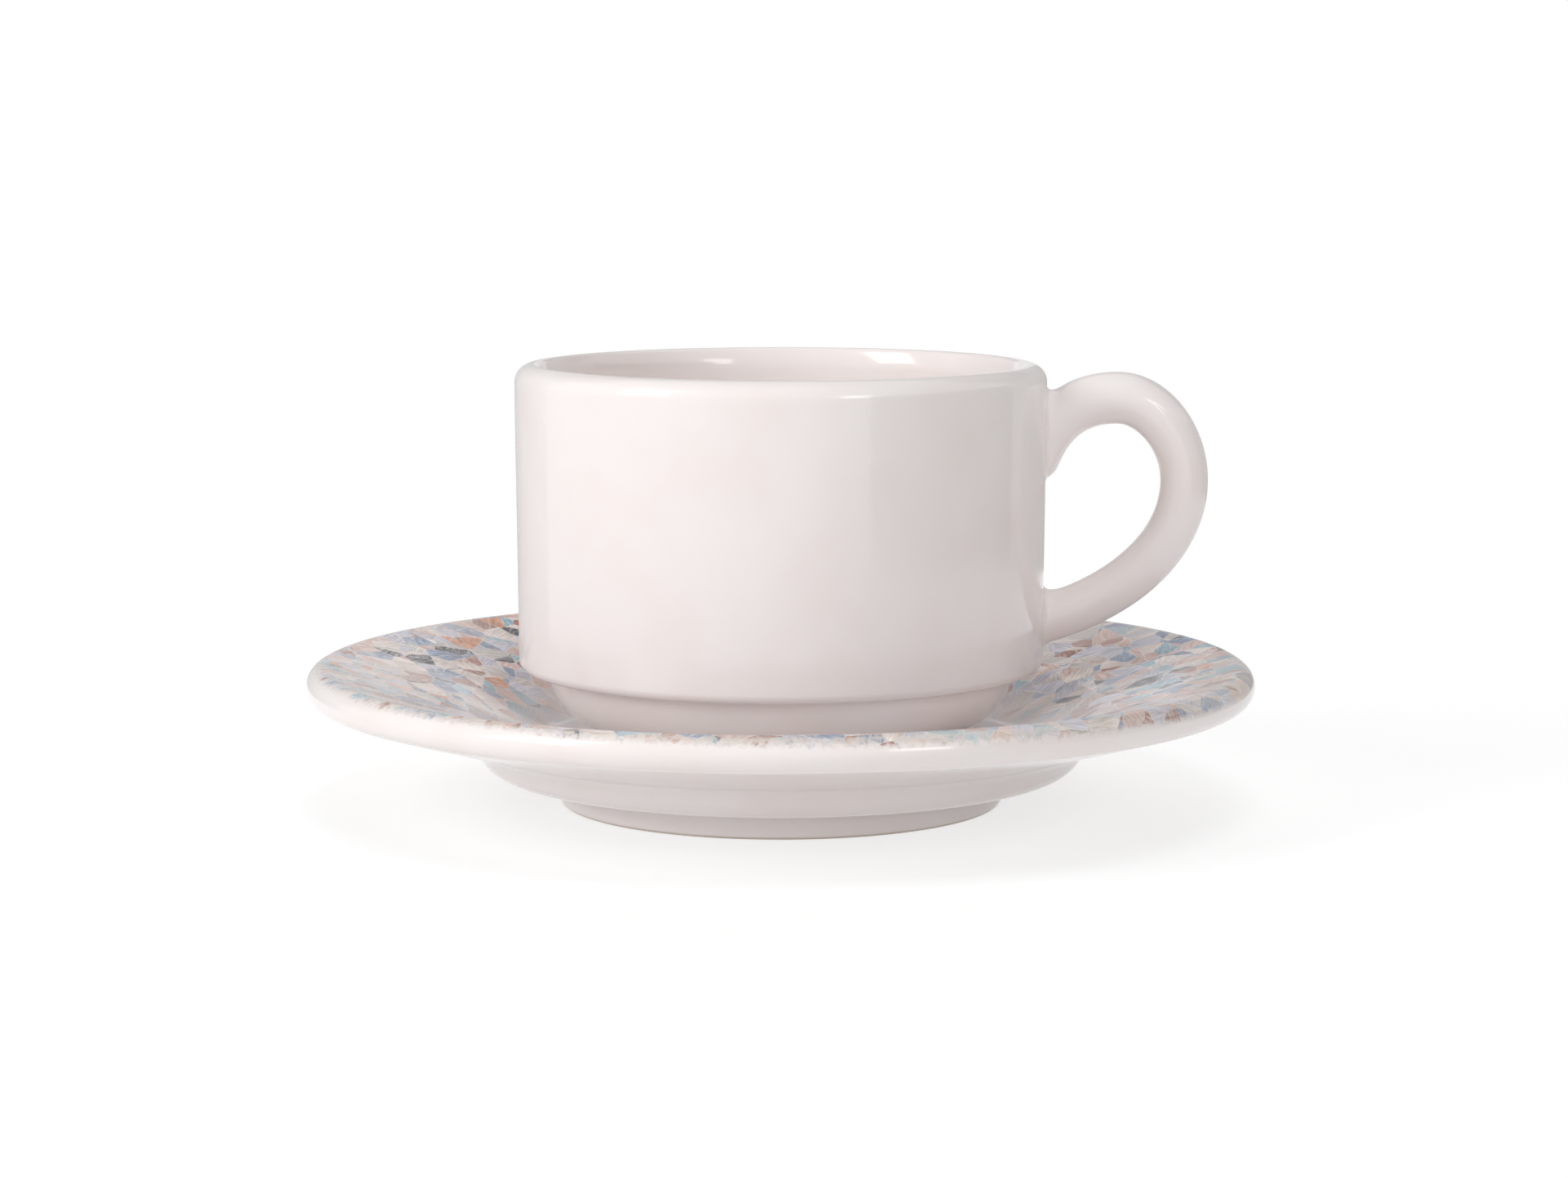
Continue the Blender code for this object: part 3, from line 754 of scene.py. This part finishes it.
def lightTable():
    shape = bmesh.new()
    bmesh.ops.create_grid(shape, x_segments=1, y_segments=1, size=studio["tableSize"] / 2 * mm)
    table = meshPiece("table", shape)
    table.location.z = -studio["tableDrop"] * mm        # clear of the foot ring
    made = newMaterial("whiteAcrylicTable")
    tree = made.node_tree
    acrylic = addNode(tree, "ShaderNodeBsdfDiffuse", {"Color": (studio["tableAlbedo"],) * 3 + (1.0,)})
    glow = addNode(tree, "ShaderNodeEmission", {"Strength": studio["tableGlow"]})
    lit = addNode(tree, "ShaderNodeAddShader", links={0: acrylic, 1: glow})
    place = addNode(tree, "ShaderNodeTexCoord")
    away = addNode(tree, "ShaderNodeVectorMath", {"operation": "LENGTH"}, {0: place.outputs["Object"]})
    share = addNode(tree, "ShaderNodeMapRange",
                    {"interpolation_type": "SMOOTHSTEP", "From Min": studio["shadowNear"] * mm,
                     "From Max": studio["shadowFar"] * mm, "To Min": studio["shadowShare"], "To Max": 0.0},
                    {"Value": away.outputs["Value"]})
    rest = addNode(tree, "ShaderNodeMath",
                   {"operation": "MULTIPLY_ADD", 1: -studio["litLevel"], 2: 1.0}, {0: share})
    white = addNode(tree, "ShaderNodeEmission", {"Color": hexColor("#ffffff")}, {"Strength": rest})
    shaded = addNode(tree, "ShaderNodeBsdfDiffuse", links={"Color": share})
    shown = addNode(tree, "ShaderNodeAddShader", links={0: white, 1: shaded})
    surface = addNode(tree, "ShaderNodeMixShader", links={0: shownRays(tree), 1: lit, 2: shown})
    addNode(tree, "ShaderNodeOutputMaterial", links={"Surface": surface})
    table.data.materials.append(made)


def whiteSky():
    world = bpy.data.worlds.new("whiteStudio")
    world.use_nodes = True
    tree = world.node_tree
    tree.nodes.clear()
    level = addNode(tree, "ShaderNodeMapRange", {"To Min": studio["skyLevel"], "To Max": 1.0},
                    {"Value": shownRays(tree)})
    light = addNode(tree, "ShaderNodeBackground", {"Color": hexColor("#ffffff")}, {"Strength": level})
    addNode(tree, "ShaderNodeOutputWorld", links={"Surface": light})
    bpy.context.scene.world = world


def studioLamp(name, azimuth, height, distance, width, length, watts, shows):
    light = bpy.data.lights.new(name, "AREA")
    light.shape = "RECTANGLE"
    light.size = width * mm
    light.size_y = length * mm
    light.energy = watts
    lamp = bpy.data.objects.new(name, light)
    a, h = math.radians(azimuth), math.radians(height)
    target = Vector((0, 0, cup["top"] / 2 * mm))
    toward = Vector((math.cos(h) * math.sin(a), -math.cos(h) * math.cos(a), math.sin(h)))
    lamp.location = target + toward * distance * mm
    lamp.rotation_euler = toward.to_track_quat("Z", "Y").to_euler()
    lamp.visible_camera = False
    lamp.visible_glossy = shows
    bpy.context.scene.collection.objects.link(lamp)


# a sheet that glows with one plain tone and shows only in the glaze: a painted reflection of a card
def reflectorCard(name, azimuthFrom, azimuthTo, distance, bottom, top, tone, parts=16):
    shape = bmesh.new()
    columns = []
    for i in range(parts + 1):
        a = math.radians(azimuthFrom + (azimuthTo - azimuthFrom) * i / parts)
        foot = Vector((math.sin(a), -math.cos(a), 0)) * distance * mm
        columns.append([shape.verts.new(foot + Vector((0, 0, z * mm))) for z in (bottom, top)])
    for a, b in zip(columns, columns[1:]):
        shape.faces.new((a[0], b[0], b[1], a[1]))
    card = meshPiece(name, shape)
    made = newMaterial("glowingReflectionCard")        # a glowing sheet, not a lit card: one plain tone, a painted reflection in the glaze
    cardGlow = addNode(made.node_tree, "ShaderNodeEmission", {"Color": hexColor(tone)})
    addNode(made.node_tree, "ShaderNodeOutputMaterial", links={"Surface": cardGlow})
    card.data.materials.append(made)
    card.visible_camera = False
    card.visible_diffuse = False
    card.visible_shadow = False


lightTable()
whiteSky()
for card in studio["cards"]:
    reflectorCard(*card)
for lamp in studio["lamps"]:
    studioLamp(*lamp)
bpy.context.scene.view_settings.view_transform = "Standard"
print("studio:", len(studio["lamps"]), "lamps and", len(studio["cards"]), "cards")


# a long lens a little above the lip, looking slightly down; mm, and radians for the tilt
view = {"place": (0.5, -597.5, 110.0), "tilt": 0.127, "lens": 87.15, "sensor": 36.0, "nearest": 10}
cameraData = bpy.data.cameras.new("photoCamera")
cameraData.sensor_fit = "HORIZONTAL"
cameraData.sensor_width = view["sensor"]
cameraData.lens = view["lens"]
cameraData.clip_start = view["nearest"] * mm
camera = bpy.data.objects.new("photoCamera", cameraData)
camera.location = Vector(view["place"]) * mm
camera.rotation_euler = (math.pi / 2 - view["tilt"], 0, 0)
bpy.context.scene.collection.objects.link(camera)
bpy.context.scene.camera = camera
